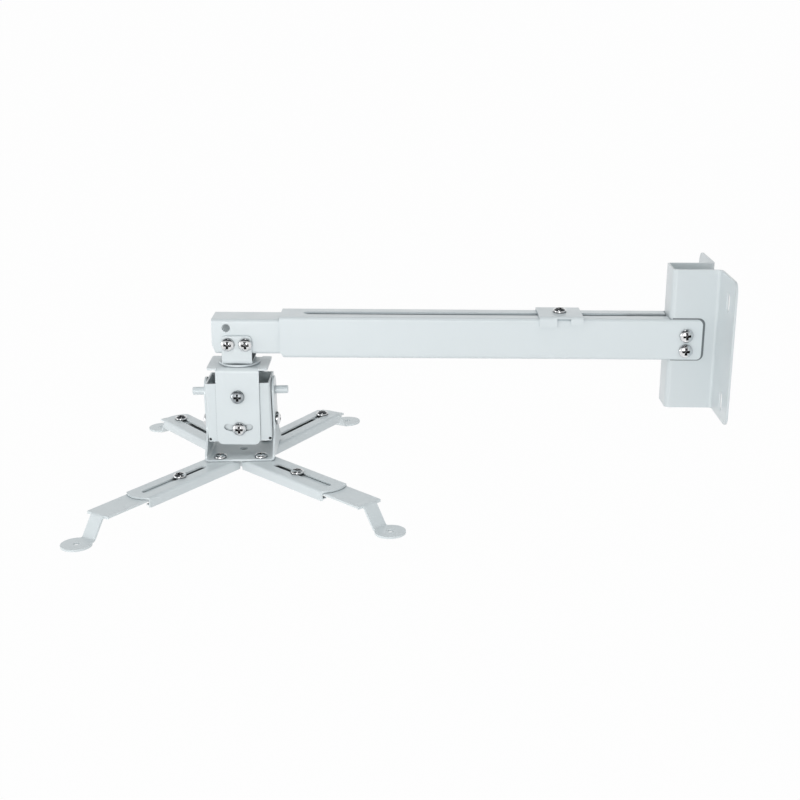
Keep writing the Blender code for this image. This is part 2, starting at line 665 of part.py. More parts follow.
def make_arm(corner, parent):
    """An upside-down channel along +X from its pivot, slotted on top, with a round outer end."""
    top = CRADLE_BASE - GAP
    middle = top - ARM_SHEET / 2
    side = ARM_HALF - ARM_SHEET / 2
    low = top - ARM_SKIRT
    path = [(-side, low), (-side, middle), (side, middle), (side, low)]
    strip = [bent_strip(path, ARM_SHEET, ARM_BEND)]
    start = -ARM_BACK - OVERCUT
    arm = extrusion(f"arm_{corner}", strip, start, ARM_TIP + OVERCUT, ALONG_X, PARTS)
    finish(arm, "white", parent)
    rise = ARM_TIP - ARM_SIDE_END
    end_radius = (ARM_HALF**2 + rise**2) / (2 * rise)
    half_angle = math.asin(ARM_HALF / end_radius)
    outer = arc(end_radius, -half_angle, half_angle, ARM_TIP - end_radius, 0.0, CAP_STEPS)
    back = ARM_BACK
    before = (ARM_SIDE_END, ARM_HALF)
    inner = fillet(before, (-back, ARM_HALF), (-back, -ARM_HALF), ARM_BACK_CORNER)
    inner += [(x, -y) for x, y in inner[::-1]]
    loops = [outer + inner, circle(BOLT_RADIUS + HOLE_CLEARANCE)]
    loops.append(stadium(*ARM_SLOT, SLOT_HALF))
    shape = extrusion(f"arm_plan_{corner}", loops, low - OVERCUT, top + OVERCUT, ALONG_Z, CUTTERS)
    combine(arm, shape, "INTERSECT")
    head = CRADLE_BASE + SHEET + GAP
    under = top - ARM_SHEET - GAP
    length = head - under + NUT_HEIGHT + 0.0005
    cradle_frame = parent.parent
    place = parent.location
    flat = (0, 0, 0)
    bolt(f"arm_bolt_{corner}", (place.x, place.y, head), flat, length, cradle_frame, SMALL_HEAD)
    nut(f"arm_nut_{corner}", (place.x, place.y, under), flat, cradle_frame)


def make_foot(corner, reach, parent):
    """The sliding foot: a flat plate, a leg folded down and a round pad, with its clamp screw."""
    top = CRADLE_BASE - GAP - ARM_SHEET - GAP
    middle = top - SHEET / 2
    pad = middle - FOOT_LEG_DROP
    pad_at = reach + FOOT_PAD_AT
    end = pad_at + FOOT_PAD_RADIUS
    start = -FOOT_TAIL - OVERCUT
    path = [(start, middle), (reach, middle), (reach + FOOT_LEG_RUN, pad), (end + OVERCUT, pad)]
    half = FOOT_HALF + OVERCUT
    foot = extrusion(f"foot_{corner}", [bent_strip(path)], -half, half, ALONG_Y, PARTS)
    finish(foot, "white", parent)
    tail = [(-FOOT_TAIL, FOOT_HALF), (-FOOT_TAIL, -FOOT_HALF)]
    tail = rounded([(reach, FOOT_HALF), *tail, (reach, -FOOT_HALF)], [0, 0.004, 0.004, 0])
    half_angle = math.pi - math.asin(FOOT_LEG_HALF / FOOT_PAD_RADIUS)
    round_pad = arc(FOOT_PAD_RADIUS, -half_angle, half_angle, pad_at, 0.0, LARGE_STEPS)
    shoulder = [(reach, -FOOT_LEG_HALF)]
    far_shoulder = [(reach, FOOT_LEG_HALF)]
    loops = [tail + shoulder + round_pad + far_shoulder]
    loops.append(circle(BOLT_RADIUS + HOLE_CLEARANCE))
    loops.append(circle(FOOT_PAD_HOLE, pad_at, steps=2 * CAP_STEPS))
    low = pad - OVERCUT
    shape = extrusion(f"foot_plan_{corner}", loops, low, top + OVERCUT, ALONG_Z, CUTTERS)
    combine(foot, shape, "INTERSECT")
    head = CRADLE_BASE
    under = top - SHEET - GAP
    length = head - under + NUT_HEIGHT + 0.0005
    bolt(f"foot_bolt_{corner}", (0, 0, head), (0, 0, 0), length, parent, SMALL_HEAD)
    nut(f"foot_nut_{corner}", (0, 0, under), (0, 0, 0), parent)


def make_arms(cradle_frame):
    """Four arms, each on an empty at its pivot, and four feet, each on an empty at its screw."""
    for corner, degrees in ARM_ANGLE.items():
        row, column = corner.split("_")
        x = ARM_PIVOT[0] * (1 if column == "right" else -1)
        y = ARM_PIVOT[1] * (1 if row == "back" else -1)
        turn = (0, 0, math.radians(degrees))
        arm_frame = frame(f"arm_axis_{corner}", cradle_frame, (x, y, 0), turn)
        make_arm(corner, arm_frame)
        foot_frame = frame(f"foot_slide_{corner}", arm_frame, (FOOT_AT[row], 0, 0))
        make_foot(corner, FOOT_REACH[row], foot_frame)


def make_mount():
    make_wall_bracket()
    make_outer_tube()
    make_ear_bolts()
    slide = frame("extension_slide", None, (SWIVEL_X, 0, 0))
    make_inner_tube(slide)
    make_clamp(slide)
    make_neck(slide)
    swivel = frame("swivel_axis", slide, (0, 0, PIVOT_Z))
    make_yoke(swivel)
    make_swivel_bolt(swivel)
    roll = frame("roll_axis", swivel, (0, 0, 0), (0, -HEAD_ROLL, 0))
    make_tilt_box(roll)
    make_roll_bolts(roll)
    make_pitch_bolts(roll)
    pitch = frame("pitch_axis", roll, (0, 0, 0))
    make_cradle(pitch)
    make_arms(pitch)
    for obj in PARTS.objects:
        if obj.type == "MESH" and obj.modifiers.get("turn") is None:
            shade_round(obj.data)


clear_scene()
PARTS = new_collection("projector_wall_mount")
CUTTERS = new_collection("cutters")
MATERIALS = {
    "white": new_material("white_enamel", WHITE, 0.30, 0.0),
    "chrome": new_material("chrome_plate", CHROME, 0.12, 1.0),
    "zinc": new_material("zinc_plate", ZINC, 0.30, 1.0),
}
make_mount()
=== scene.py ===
"""The dressed model of a telescopic projector wall mount, laid out as an add-on for Blender 4.5."""

import json
import math

import bpy
from bpy.props import FloatProperty, FloatVectorProperty, IntProperty, PointerProperty
from bpy.types import Operator, Panel, PropertyGroup
from mathutils import Matrix, Vector

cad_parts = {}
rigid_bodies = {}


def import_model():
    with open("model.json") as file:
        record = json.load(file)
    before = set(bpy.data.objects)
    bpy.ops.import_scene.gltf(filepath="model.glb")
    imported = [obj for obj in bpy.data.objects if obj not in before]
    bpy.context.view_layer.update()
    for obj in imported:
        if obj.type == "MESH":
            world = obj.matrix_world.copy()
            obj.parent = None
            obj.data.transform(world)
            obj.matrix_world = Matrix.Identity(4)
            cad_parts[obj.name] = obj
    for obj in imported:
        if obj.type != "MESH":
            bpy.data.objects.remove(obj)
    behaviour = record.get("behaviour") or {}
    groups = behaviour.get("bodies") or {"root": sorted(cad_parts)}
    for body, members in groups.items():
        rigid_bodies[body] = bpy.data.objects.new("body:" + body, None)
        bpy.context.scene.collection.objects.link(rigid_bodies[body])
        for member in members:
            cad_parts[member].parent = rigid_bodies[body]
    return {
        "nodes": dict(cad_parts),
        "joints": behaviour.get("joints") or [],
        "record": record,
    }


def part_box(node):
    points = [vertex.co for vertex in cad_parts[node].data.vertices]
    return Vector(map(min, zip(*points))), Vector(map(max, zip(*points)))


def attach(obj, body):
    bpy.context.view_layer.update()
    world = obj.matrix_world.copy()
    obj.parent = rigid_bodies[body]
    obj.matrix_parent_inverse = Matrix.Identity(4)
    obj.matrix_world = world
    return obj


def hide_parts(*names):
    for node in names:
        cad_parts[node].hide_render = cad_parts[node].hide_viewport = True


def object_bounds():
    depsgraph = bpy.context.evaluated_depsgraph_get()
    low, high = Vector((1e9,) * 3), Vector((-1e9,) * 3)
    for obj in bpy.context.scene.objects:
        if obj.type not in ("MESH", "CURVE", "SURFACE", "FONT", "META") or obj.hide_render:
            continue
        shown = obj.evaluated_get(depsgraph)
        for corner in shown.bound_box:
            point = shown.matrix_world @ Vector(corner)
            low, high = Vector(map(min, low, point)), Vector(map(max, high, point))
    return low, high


bl_info = {
    "name": "Projector Wall Mount",
    "version": (1, 0, 0),
    "blender": (4, 5, 0),
    "location": "3D View > Sidebar > Wall Mount",
    "description": "Dresses the packed model of a projector wall mount and sets its studio",
    "category": "Object",
}

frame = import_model()
NODES = frame["nodes"]
CAD_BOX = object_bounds()
JOINTS = {joint["name"]: joint for joint in frame["joints"]}
JOINT_AXIS = {name: Vector(joint["axis"]) for name, joint in JOINTS.items()}
BODY_OF = {
    node: body for body, nodes in frame["record"]["behaviour"]["bodies"].items() for node in nodes
}
HEAD_UP = JOINT_AXIS["front_left_swing"]
HEAD_RIGHT = JOINT_AXIS["pitch_tilt"]
LOWEST = CAD_BOX[0][2]

# Lengths are in metres.
MERGE_DISTANCE = 0.00001
FLAT_ANGLE = math.radians(0.5)
EDGE_ANGLE = math.radians(50)
SHEET_SMOOTHING = math.radians(32)
TRIM_SMOOTHING = math.radians(40)
SCREW_SMOOTHING = math.radians(38)
NUT_SMOOTHING = math.radians(25)

# The slots lie this near the wall, and this far out at each side.
SLOT_PLATE_DEPTH = 0.0035
SLOT_BAND = (0.0425, 0.0625)
SLOT_END_MARGIN = 0.002
SLOT_CHAMFER = 0.0008
LEVEL_TOLERANCE = 0.0001

# The lip's low and high corner along the arm, across it and up, from the arm's pivot.
LIP_LOW = (-0.0100, 0.0079, -0.0086)
LIP_HIGH = (0.1090, 0.0141, -0.0072)
TRIM_EDGE = 0.0004

RING_RADIUS = 0.0118
RING_WALL = 0.0020
RING_DEPTH = 0.0130
RING_RISE = 0.0010

# The ends of the dark sheet that paints the shadow round each ear, away from the wall and near it,
# and what it stands out at the ear.
SHADOW_SHEET_FAR_END = -0.0445
SHADOW_SHEET_WALL_END = -0.0134
SHADOW_SHEET_BELOW = 0.0006
SHADOW_SHEET_ABOVE = 0.0010
SHADOW_SHEET_GAP = 0.00002
SHADOW_SHEET_THICKNESS = 0.0005
SHADOW_SHEET_EDGE = 0.00015
SHADOW_SHEET_CORNER = 0.0062
CHANNEL_START = -0.010
CHANNEL_LIMIT = 0.020

SCREW_SHANK = 0.003
SWIVEL_SHANK = 0.004
LONGEST_NECK = 0.002

CORNERS = ["front_left", "front_right", "back_right", "back_left"]
ENAMELLED = [
    "wall_bracket", "outer_tube", "inner_tube", "clamp_saddle", "neck", "upper_yoke",
    "tilt_box", "lower_cradle", "pitch_axle", "swivel_washer",
    *(f"{part}_{corner}" for part in ("arm", "foot") for corner in CORNERS),
]
SHEET_FINISH = {
    "inner_tube": "tube_enamel",
    "outer_tube": "tube_enamel",
    "wall_bracket": "bracket_enamel",
    "upper_yoke": "head_enamel",
    "tilt_box": "box_enamel",
    "lower_cradle": "head_enamel",
    "swivel_washer": "head_enamel",
}

# Per finish: the share of the set colour on open faces, then the scale of the painted shade in
# hollows and of the painted shade in each fold over their set colours.
ENAMELS = {
    "cool_white_enamel": (1.0, 1.0, 1.0),
    "tube_enamel": (0.98, 7.0, 1.35),
    "bracket_enamel": (0.93, 7.0, 1.0),
    "head_enamel": (1.0, 7.5, 1.0),
    "box_enamel": (1.0, 7.5, 0.45),
}

# Masks of the painted shade in each fold, in hollows and in plated corners: how far a surface looks
# for others, and how much of that view is open in and out of a corner.
FOLD_SHADE_REACH = (0.004, 0.20, 0.75)
HOLLOW_SHADE_REACH = (0.030, 0.10, 0.38)
CORNER_SHADE_REACH = (0.004, 0.50, 0.96)
# Greys of the sheet that paints the shadow round the ears.
SHADOW_SHEET_GREYS = ((0.15, 0.17, 0.18, 1), (0.20, 0.22, 0.23, 1))

BACKDROP = (0.985, 0.985, 0.985, 1)
ROOM_LIGHT = (0.97, 0.99, 1, 1)
DARK_CEILING = (0.06, 0.065, 0.07, 1)
CEILING_FADE = (0.30, 0.62)
FLOOR_SIZE = 1200
FLOOR_COLOUR = (0.80, 0.80, 0.80, 1)
FLOOR_GLOW = 0.97

# Where the lights look, and where they and the camera stand. Angles are in radians.
MIDDLE = (-0.3, 0, -0.03)
KEY_PLACE, KEY_SIZE = (-0.85, -3.95, -0.05), 1.6
TOP_PLACE, TOP_SIZE = (-0.4, -0.25, 1.6), 0.4
SIDE_PLACE, SIDE_SIZE = (-3.6, -0.9, 0.0), 1.2
CAMERA_PLACE = (-0.2976, -1.2426, 0.3165)
CAMERA_YAW, CAMERA_DOWN, CAMERA_ROLL = 0.0055, 0.2999, 0.0049


def facing(node):
    """The direction in which a bolt's head points."""
    if node.startswith(("wall_", "neck_")):
        return Vector((0, -1, 0))
    if node.startswith(("clamp_", "swivel_")):
        return Vector((0, 0, 1))
    if node.startswith("roll_"):
        return Vector((0, 1 if node.endswith("back") else -1, 0))
    if node.startswith("pitch_"):
        return HEAD_RIGHT * (1 if node.endswith("right") else -1)
    return HEAD_UP.copy()


class EnamelSettings(PropertyGroup):
    colour: FloatVectorProperty(
        name="Enamel", description="Colour of the powder coat", subtype="COLOR", size=3,
        default=(0.700, 0.752, 0.768), min=0, max=1,
    )
    # Painted shade: the colour mixed into each fold, crease and gap between parts, where less light
    # falls.
    shade: FloatVectorProperty(
        name="Enamel in folds", description="Cooler colour where the coat gathers in a fold",
        subtype="COLOR", size=3, default=(0.460, 0.515, 0.540), min=0, max=1,
    )
    # Painted shade: the dark colour laid deep inside the folded sheet and in hollows, where little
    # light reaches.
    painted_hollow_shade: FloatVectorProperty(
        name="Enamel in hollows", description="Thin grey coat deep inside the folded sheet",
        subtype="COLOR", size=3, default=(0.090, 0.100, 0.107), min=0, max=1,
    )
    roughness: FloatProperty(
        name="Roughness", description="Roughness of the coat", default=0.34, min=0, max=1,
    )
    peel: FloatProperty(
        name="Orange peel", description="Distance between the waves of the coat", unit="LENGTH",
        default=0.0016, min=0.0002,
    )
    edge: FloatProperty(
        name="Edge radius", description="Radius that the coat leaves on a cut edge",
        unit="LENGTH", default=0.00035, min=0.0001, max=0.001,
    )


class FastenerSettings(PropertyGroup):
    chrome: FloatVectorProperty(
        name="Chrome", description="Colour of the plated screws", subtype="COLOR", size=3,
        default=(0.80, 0.81, 0.82), min=0, max=1,
    )
    dull: FloatVectorProperty(
        name="Dull chrome", description="Colour of the worn pivot screws", subtype="COLOR", size=3,
        default=(0.44, 0.47, 0.49), min=0, max=1,
    )
    zinc: FloatVectorProperty(
        name="Zinc", description="Colour of the nuts", subtype="COLOR", size=3,
        default=(0.62, 0.64, 0.65), min=0, max=1,
    )
    pitch: FloatProperty(
        name="Thread pitch", description="Rise of the thread in one turn", unit="LENGTH",
        default=0.001, min=0.0005,
    )
    recess: FloatProperty(
        name="Recess", description="Length of the cross recess over the head's diameter",
        subtype="FACTOR", default=0.78, min=0.2, max=0.9,
    )
    blade: FloatProperty(
        name="Recess blade", description="Width of one slot of the cross recess", unit="LENGTH",
        default=0.0031, min=0.0005,
    )
    facets: IntProperty(
        name="Facets", description="Steps round a screw's head", default=32, min=12, max=64,
    )


class StudioSettings(PropertyGroup):
    drop: FloatProperty(
        name="Floor drop", description="Height of the mount's lowest point over the floor",
        unit="LENGTH", default=0.90, min=0,
    )
    key: FloatProperty(
        name="Key light", description="Power of the wide light behind the camera", unit="POWER",
        default=45, min=0,
    )
    top: FloatProperty(
        name="Top light", description="Power of the light overhead", unit="POWER",
        default=1.5, min=0,
    )
    side: FloatProperty(
        name="Side light", description="Power of the soft light far on the left", unit="POWER",
        default=18, min=0,
    )
    room: FloatProperty(
        name="Room light", description="Strength of the light from all round", default=0.70, min=0,
    )
    lens: FloatProperty(
        name="Lens", description="Focal length on a 36 mm sensor, in millimetres",
        default=59.31, min=10,
    )


def settings():
    return bpy.context.scene.wall_mount


def deselect_all():
    for obj in bpy.context.scene.objects:
        obj.select_set(False)


def make_active(obj):
    deselect_all()
    obj.select_set(True)
    bpy.context.view_layer.objects.active = obj


def place_in_mesh(obj):
    """Leaves the piece's object at the origin with its place in its mesh."""
    obj.data.transform(obj.matrix_world)
    obj.matrix_world = Matrix.Identity(4)


def apply_modifiers(obj):
    make_active(obj)
    for modifier in list(obj.modifiers):
        bpy.ops.object.modifier_apply(modifier=modifier.name)


def round_edges(obj, width, angle=EDGE_ANGLE):
    """Adds a small bevel to the edges that are sharper than the angle."""
    bevel = obj.modifiers.new("edge", "BEVEL")
    bevel.width = width
    bevel.segments = 2
    bevel.limit_method = "ANGLE"
    bevel.angle_limit = angle


def cut_with(obj, tool, operation):
    """Cuts the piece with a tool, which is then taken away."""
    cut = obj.modifiers.new("cut", "BOOLEAN")
    cut.operation = operation
    cut.solver = "EXACT"
    cut.object = tool
    make_active(obj)
    bpy.ops.object.modifier_apply(modifier=cut.name)
    bpy.data.objects.remove(tool, do_unlink=True)


def pick_nothing(kind):
    """Sets what edit mode selects, and leaves nothing selected."""
    bpy.ops.object.mode_set(mode="EDIT")
    bpy.ops.mesh.select_mode(type=kind)
    bpy.ops.mesh.select_all(action="DESELECT")
    bpy.ops.object.mode_set(mode="OBJECT")


def copy_of(master, name):
    """A copy that has its own mesh."""
    obj = master.copy()
    obj.data = master.data.copy()
    obj.name = name
    bpy.context.scene.collection.objects.link(obj)
    return obj


def remove_all(masters):
    for master in masters:
        bpy.data.objects.remove(master, do_unlink=True)


def points_of(node):
    """Corners of a CAD node in the row frame."""
    return [vertex.co.copy() for vertex in NODES[node].data.vertices]


def stand_for(obj, node, material):
    """Gives the piece its finish, sets it on the node's body and lets it replace the node."""
    obj.data.materials.clear()
    obj.data.materials.append(material)
    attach(obj, BODY_OF[node])
    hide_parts(node)


# Node trees


def shader_of(material):
    return material.node_tree.nodes["Principled BSDF"]


def new_material(name):
    material = bpy.data.materials.new(name)
    material.use_nodes = True
    return material


def add(tree, kind, place, **values):
    node = tree.nodes.new(kind)
    node.location = place
    for key, value in values.items():
        setattr(node, key, value)
    return node


def noise(tree, place, scale, detail, coordinates):
    node = add(tree, "ShaderNodeTexNoise", place)
    node.inputs["Scale"].default_value = scale
    node.inputs["Detail"].default_value = detail
    tree.links.new(coordinates, node.inputs["Vector"])
    return node


def bump(tree, place, source, strength, height):
    node = add(tree, "ShaderNodeBump", place)
    node.inputs["Strength"].default_value = strength
    node.inputs["Distance"].default_value = height
    tree.links.new(source, node.inputs["Height"])
    return node


def spread(tree, place, source, low, high):
    """Maps a noise's middle range to low and high."""
    node = add(tree, "ShaderNodeMapRange", place)
    node.inputs["From Min"].default_value = 0.3
    node.inputs["From Max"].default_value = 0.7
    node.inputs["To Min"].default_value = low
    node.inputs["To Max"].default_value = high
    tree.links.new(source, node.inputs["Value"])
    return node


def closeness(tree, place, distance, low, high):
    """One in a closed corner, falling to zero where the surface is open."""
    seen = add(tree, "ShaderNodeAmbientOcclusion", place, samples=8, only_local=False)
    seen.inputs["Distance"].default_value = distance
    closed = add(tree, "ShaderNodeMapRange", (place[0] + 200, place[1]))
    closed.inputs["From Min"].default_value = low
    closed.inputs["From Max"].default_value = high
    closed.inputs["To Min"].default_value = 1.0
    closed.inputs["To Max"].default_value = 0.0
    tree.links.new(seen.outputs["AO"], closed.inputs["Value"])
    return closed.outputs["Result"]


def scaled(colour, share):
    return (*(share * channel for channel in colour), 1)


def make_enamel(name, tone, inside, fold):
    """Powder coat: a cool white with painted shade in each fold and in hollows, orange peel and
    faint smears.
    """
    cloud_scale, smear_scale = 14, 45
    grit_share, peel_strength, peel_height = 0.25, 0.22, 0.00006
    values = settings().enamel
    material = new_material(name)
    tree = material.node_tree
    shader = shader_of(material)
    shader.inputs["Coat Weight"].default_value = 0.25
    shader.inputs["Coat Roughness"].default_value = 0.12
    place = add(tree, "ShaderNodeTexCoord", (-1500, 0)).outputs["Object"]
    cloudy = noise(tree, (-1250, 300), cloud_scale, 2, place)
    tint = spread(tree, (-1050, 300), cloudy.outputs["Fac"], 0.0, 0.10)
    # Painted shade: an AO mask mixes the colour towards the fold shade, scaled by fold for each
    # finish, in creases, seams and gaps between parts; a random tint is added to the mask.
    fold_shade_mask = closeness(tree, (-1250, 60), *FOLD_SHADE_REACH)
    both = add(tree, "ShaderNodeMath", (-850, 200), operation="ADD", use_clamp=True)
    tree.links.new(tint.outputs["Result"], both.inputs[0])
    tree.links.new(fold_shade_mask, both.inputs[1])
    colour = add(tree, "ShaderNodeMix", (-600, 200), data_type="RGBA")
    colour.inputs["A"].default_value = scaled(values.colour, tone)
    colour.inputs["B"].default_value = scaled(values.shade, fold)
    tree.links.new(both.outputs["Value"], colour.inputs["Factor"])
    # Painted shade: deep hollows darken towards the hollow colour, scaled by inside for each
    # finish.
    painted_hollow_shade = add(tree, "ShaderNodeMix", (-400, 300), data_type="RGBA", blend_type="DARKEN")
    painted_hollow_shade.inputs["B"].default_value = scaled(values.painted_hollow_shade, inside)
    tree.links.new(closeness(tree, (-1250, 560), *HOLLOW_SHADE_REACH), painted_hollow_shade.inputs["Factor"])
    tree.links.new(colour.outputs["Result"], painted_hollow_shade.inputs["A"])
    tree.links.new(painted_hollow_shade.outputs["Result"], shader.inputs["Base Color"])
    smear = noise(tree, (-1250, -160), smear_scale, 4, place)
    rough = spread(tree, (-1050, -160), smear.outputs["Fac"], values.roughness - 0.05,
                   values.roughness + 0.07)
    tree.links.new(rough.outputs["Result"], shader.inputs["Roughness"])
    peel = noise(tree, (-1250, -420), 1 / values.peel, 2, place)
    grit = noise(tree, (-1250, -640), 5 / values.peel, 1, place)
    waves = add(tree, "ShaderNodeMath", (-1000, -500), operation="MULTIPLY_ADD")
    waves.inputs[1].default_value = grit_share
    tree.links.new(grit.outputs["Fac"], waves.inputs[0])
    tree.links.new(peel.outputs["Fac"], waves.inputs[2])
    relief = bump(tree, (-600, -420), waves.outputs["Value"], peel_strength, peel_height)
    tree.links.new(relief.outputs["Normal"], shader.inputs["Normal"])
    return material


def make_plated(name, colour, low, high, grain, depth):
    """Plated metal with a faint grain in its gloss, tiny pits and painted shade in its corners."""
    patch_share, corner_shade_share, pit_height = 0.82, 0.08, 0.00003
    material = new_material(name)
    tree = material.node_tree
    shader = shader_of(material)
    shader.inputs["Metallic"].default_value = 1
    place = add(tree, "ShaderNodeTexCoord", (-1300, 0)).outputs["Object"]
    clouds = noise(tree, (-1050, 260), grain / 4, 3, place)
    tone = add(tree, "ShaderNodeMix", (-500, 260), data_type="RGBA")
    tone.inputs["A"].default_value = (*colour, 1)
    tone.inputs["B"].default_value = scaled(colour, patch_share)
    patch = spread(tree, (-800, 260), clouds.outputs["Fac"], 0.0, 1.0)
    tree.links.new(patch.outputs["Result"], tone.inputs["Factor"])
    # Painted shade: the plating darkens in corners, such as the cross recess and under the head,
    # from an AO mask.
    dull = add(tree, "ShaderNodeMix", (-250, 300), data_type="RGBA")
    dull.inputs["B"].default_value = scaled(colour, corner_shade_share)
    tree.links.new(closeness(tree, (-800, 520), *CORNER_SHADE_REACH), dull.inputs["Factor"])
    tree.links.new(tone.outputs["Result"], dull.inputs["A"])
    tree.links.new(dull.outputs["Result"], shader.inputs["Base Color"])
    smears = noise(tree, (-1050, 0), grain, 4, place)
    rough = spread(tree, (-800, 0), smears.outputs["Fac"], low, high)
    tree.links.new(rough.outputs["Result"], shader.inputs["Roughness"])
    pits = noise(tree, (-1050, -260), 3 * grain, 2, place)
    relief = bump(tree, (-500, -260), pits.outputs["Fac"], depth, pit_height)
    tree.links.new(relief.outputs["Normal"], shader.inputs["Normal"])
    return material


def make_shadow_sheet_finish(name):
    """Matt dark grey for the sheet that paints the shadow round the ears, with a faint mottle."""
    mottle_scale, mottle_strength, mottle_height = 220, 0.2, 0.0001
    material = new_material(name)
    tree = material.node_tree
    shader = shader_of(material)
    place = add(tree, "ShaderNodeTexCoord", (-1100, 0)).outputs["Object"]
    clouds = noise(tree, (-850, 200), mottle_scale, 3, place)
    grey = add(tree, "ShaderNodeMix", (-400, 200), data_type="RGBA")
    grey.inputs["A"].default_value, grey.inputs["B"].default_value = SHADOW_SHEET_GREYS
    tree.links.new(clouds.outputs["Fac"], grey.inputs["Factor"])
    tree.links.new(grey.outputs["Result"], shader.inputs["Base Color"])
    rough = spread(tree, (-600, -60), clouds.outputs["Fac"], 0.55, 0.72)
    tree.links.new(rough.outputs["Result"], shader.inputs["Roughness"])
    relief = bump(tree, (-400, -280), clouds.outputs["Fac"], mottle_strength, mottle_height)
    tree.links.new(relief.outputs["Normal"], shader.inputs["Normal"])
    return material


def finish_named(name):
    """A finish, made once."""
    if name in bpy.data.materials:
        return bpy.data.materials[name]
    if name in ENAMELS:
        return make_enamel(name, *ENAMELS[name])
    if name == "shadow_sheet_grey":
        return make_shadow_sheet_finish(name)
    fasteners = settings().fasteners
    plated = {
        "bright_chrome": (fasteners.chrome, 0.07, 0.16, 900, 0.08),
        "dull_chrome": (fasteners.dull, 0.26, 0.36, 700, 0.10),
        "zinc_plating": (fasteners.zinc, 0.24, 0.42, 1300, 0.25),
    }
    return make_plated(name, *plated[name])


# Sheet metal


def chamfer_slots(obj):
    """Chamfers the rims of the slots in the wall plate on both of its faces."""
    pick_nothing("EDGE")
    bpy.ops.object.mode_set(mode="EDIT")
    bpy.ops.mesh.edges_select_sharp(sharpness=EDGE_ANGLE)
    bpy.ops.object.mode_set(mode="OBJECT")
    bottom, top = (corner[2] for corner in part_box("wall_bracket"))
    near, far = SLOT_BAND
    for edge in obj.data.edges:
        ends = [obj.data.vertices[i].co for i in edge.vertices]
        rim = all(end.x > -SLOT_PLATE_DEPTH and near < abs(end.y) < far for end in ends)
        inner = all(bottom + SLOT_END_MARGIN < end.z < top - SLOT_END_MARGIN for end in ends)
        level = abs(ends[0].x - ends[1].x) < LEVEL_TOLERANCE
        edge.select = edge.select and rim and inner and level
    bpy.ops.object.mode_set(mode="EDIT")
    bpy.ops.mesh.bevel(offset=SLOT_CHAMFER, segments=1, affect="EDGES")
    bpy.ops.object.mode_set(mode="OBJECT")


def soften(node, material, radius):
    """A copy of a solid with its loose triangles merged and its cut edges rounded."""
    obj = bpy.data.objects.new(f"{node}_sheet", NODES[node].data.copy())
    bpy.context.scene.collection.objects.link(obj)
    make_active(obj)
    bpy.ops.object.mode_set(mode="EDIT")
    bpy.ops.mesh.select_all(action="SELECT")
    bpy.ops.mesh.remove_doubles(threshold=MERGE_DISTANCE)
    bpy.ops.mesh.dissolve_limited(angle_limit=FLAT_ANGLE)
    bpy.ops.object.mode_set(mode="OBJECT")
    if node == "wall_bracket":
        chamfer_slots(obj)
    round_edges(obj, radius)
    apply_modifiers(obj)
    bpy.ops.object.shade_smooth_by_angle(angle=SHEET_SMOOTHING)
    flat = obj.modifiers.new("flat", "WEIGHTED_NORMAL")
    flat.weight = 100
    flat.keep_sharp = True
    apply_modifiers(obj)
    stand_for(obj, node, material)


class OBJECT_OT_mount_sheet_metal(Operator):
    """Rounds the cut edges of the folded sheet and the tubes and coats them."""

    bl_idname = "object.mount_sheet_metal"
    bl_label = "Coated Sheet Metal"

    def execute(self, context):
        radius = settings().enamel.edge
        for node in ENAMELLED:
            enamel = finish_named(SHEET_FINISH.get(node, "cool_white_enamel"))
            soften(node, enamel, radius)
        return {"FINISHED"}


def rounded_bar(name, low, high, radius, corner=None):
    """A bar between two corners with rounded edges, and wider corners where they are asked."""
    deselect_all()
    middle = [(a + b) / 2 for a, b in zip(low, high)]
    bpy.ops.mesh.primitive_cube_add(size=1, location=middle)
    bar = bpy.context.object
    bar.name = name
    bar.scale = [b - a for a, b in zip(low, high)]
    bpy.ops.object.transform_apply(location=False, rotation=False, scale=True)
    place_in_mesh(bar)
    if corner:
        pick_nothing("EDGE")
        for edge in bar.data.edges:
            ends = [bar.data.vertices[i].co for i in edge.vertices]
            edge.select = min(end.x for end in ends) > middle[0] and ends[0].z == ends[1].z
        bpy.ops.object.mode_set(mode="EDIT")
        bpy.ops.mesh.bevel(offset=corner, segments=8, affect="EDGES")
        bpy.ops.object.mode_set(mode="OBJECT")
    round_edges(bar, radius)
    apply_modifiers(bar)
    bpy.ops.object.shade_smooth_by_angle(angle=TRIM_SMOOTHING)
    return bar


class OBJECT_OT_mount_arm_lips(Operator):
    """Folds a lip inward along the lower edge of each side of the arms."""

    bl_idname = "object.mount_arm_lips"
    bl_label = "Arm Lips"

    def execute(self, context):
        enamel = finish_named("cool_white_enamel")
        lip = rounded_bar("lip", LIP_LOW, LIP_HIGH, TRIM_EDGE)
        for corner in CORNERS:
            swing = JOINTS[f"{corner}_swing"]
            up = Vector(swing["axis"])
            along = JOINT_AXIS[f"{corner}_reach"]
            for side, across in (("left", up.cross(along)), ("right", along.cross(up))):
                obj = copy_of(lip, f"arm_lip_{side}_{corner}")
                axes = Matrix((along, across, up)).transposed().to_4x4()
                obj.data.transform(Matrix.Translation(Vector(swing["pos_m"])) @ axes)
                if side == "right":
                    obj.data.flip_normals()
                obj.data.materials.append(enamel)
                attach(obj, BODY_OF[f"arm_{corner}"])
        remove_all([lip])
        return {"FINISHED"}


